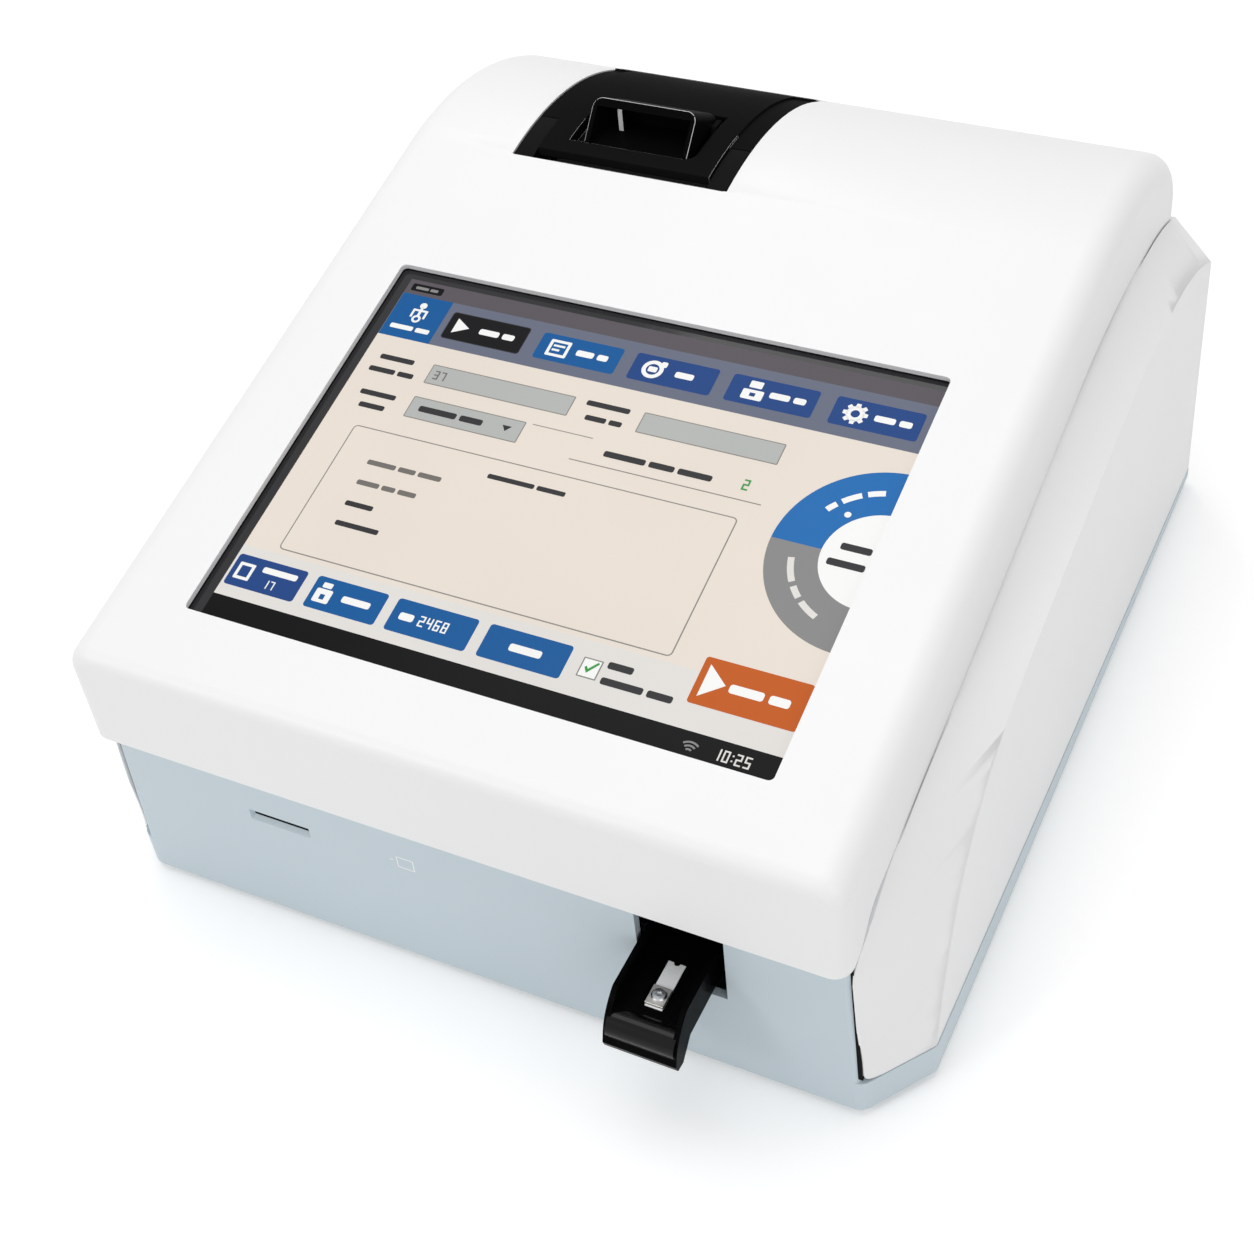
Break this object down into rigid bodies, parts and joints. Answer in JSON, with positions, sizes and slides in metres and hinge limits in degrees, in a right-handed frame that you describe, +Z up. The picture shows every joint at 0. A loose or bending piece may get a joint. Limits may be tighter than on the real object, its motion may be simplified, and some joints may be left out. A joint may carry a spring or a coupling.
{
  "type": "rapid test reader",
  "caption": "Bench-top rapid test reader with a sloped touch screen, a motor-driven cassette tray at the front and a ticket printer under a hinged door in the top.",
  "frame": {"origin": "on the bench under the middle of the overall box, tray out", "axes": "+X to the right of a person facing the screen, +Y from the front to the rear, +Z up"},
  "size_m": [0.2464, 0.294, 0.1503],
  "materials": {
    "alloy": "milled",
    "base_blue": "satin pale blue-grey moulding",
    "board_green": "lacquered board",
    "carriage_grey": "smooth",
    "clamp_metal": "brushed",
    "cover_white": "satin white moulding",
    "display_metal": "satin",
    "filter_glass": "clear",
    "gear_brass": "turned",
    "gear_white": "smooth acetal",
    "head_ceramic": "plain",
    "leaf_white": "smooth",
    "motor_can": "plated",
    "paper": "matte",
    "platen_rubber": "smooth",
    "printer_black": "fine texture, satin",
    "rubber": "dull",
    "screen": "glossy, lit picture",
    "seal": "dull",
    "socket_black": "satin",
    "socket_steel": "plated",
    "steel": "bright",
    "tray_black": "glossy",
    "zinc_sheet": "plated sheet"
  },
  "bodies": {
    "case": {"base_shell": "base_blue", "card_reader_board": "board_green", "card_socket": "socket_black", "case_screws": "steel", "dc_inlet": "socket_black", "display_plate": "zinc_sheet", "display_screws": "steel", "guide_rods": "steel", "head_spring": "steel", "heat_sink": "alloy", "hinge_pin": "steel", "io_board": "board_green", "lan_socket": "socket_steel", "lcd_module": "display_metal", "main_board": "board_green", "optics_board": "board_green", "optics_bridge": "zinc_sheet", "optics_filter": "filter_glass", "optics_housing": "alloy", "optics_lamp": "socket_black", "print_head": "head_ceramic", "print_motor": "motor_can", "printer_frame": "printer_black", "rear_panel": "base_blue", "rod_brackets": "alloy", "rubber_feet": "rubber", "side_panel_left": "cover_white", "side_panel_right": "cover_white", "speaker": "socket_black", "switch_body": "socket_black", "tear_bar": "steel", "top_cover": "cover_white", "touch_panel": "screen", "tray_motor": "motor_can", "tray_motor_bracket": "zinc_sheet", "usb_sockets": "socket_steel", "window_gasket": "seal"},
    "tray": {"cassette_tray": "tray_black", "leaf_strip": "leaf_white", "clamp_plate": "clamp_metal", "tray_rack": "gear_white", "tray_carriage": "carriage_grey"},
    "tray_pinion": {"tray_pinion": "gear_brass"},
    "printer_door": {"printer_door": "printer_black", "lever_pin": "steel", "lever_spring": "steel"},
    "release_lever": {"release_lever": "printer_black"},
    "platen": {"platen_shaft": "steel", "platen_sleeve": "platen_rubber", "platen_gear": "gear_white"},
    "print_pinion": {"print_pinion": "gear_brass"},
    "paper_roll": {"paper_roll": "paper"},
    "power_rocker": {"power_rocker": "socket_black"}
  },
  "joints": [
    {"name": "tray_slide", "type": "slide", "parent": "case", "child": "tray", "axis": [0, 1, 0], "range_m": [0, 0.0175]},
    {"name": "tray_pinion_spin", "type": "hinge", "parent": "case", "child": "tray_pinion", "pos_m": [0.0643, -0.039, 0.016], "axis": [-1, 0, 0], "range_deg": [0, 169]},
    {"name": "printer_door_hinge", "type": "hinge", "parent": "case", "child": "printer_door", "pos_m": [-0.0363, 0.12868, 0.12546], "axis": [-1, 0, 0], "range_deg": [0, 62]},
    {"name": "release_lever_hinge", "type": "hinge", "parent": "printer_door", "child": "release_lever", "pos_m": [-0.0351, 0.0925, 0.1401], "axis": [-1, 0, 0], "range_deg": [0, 25], "stiffness_Nm_per_rad": 0.01, "springref_deg": -17.19},
    {"name": "platen_spin", "type": "hinge", "parent": "printer_door", "child": "platen", "pos_m": [-0.0363, 0.074, 0.1306], "axis": [1, 0, 0], "continuous": true},
    {"name": "print_drive_spin", "type": "hinge", "parent": "case", "child": "print_pinion", "pos_m": [-0.06405, 0.074, 0.121], "axis": [1, 0, 0], "continuous": true},
    {"name": "paper_roll_spin", "type": "hinge", "parent": "case", "child": "paper_roll", "pos_m": [-0.0363, 0.103, 0.1132], "axis": [1, 0, 0], "continuous": true},
    {"name": "power_rocker_hinge", "type": "hinge", "parent": "case", "child": "power_rocker", "pos_m": [0.08, 0.1396, 0.0495], "axis": [1, 0, 0], "range_deg": [0, 16]}
  ],
  "couplings": [
    {"joint": "tray_pinion_spin", "follows": "tray_slide", "rad_per_m": 166.67},
    {"joint": "print_drive_spin", "follows": "platen_spin", "ratio": -1.6667}
  ]
}
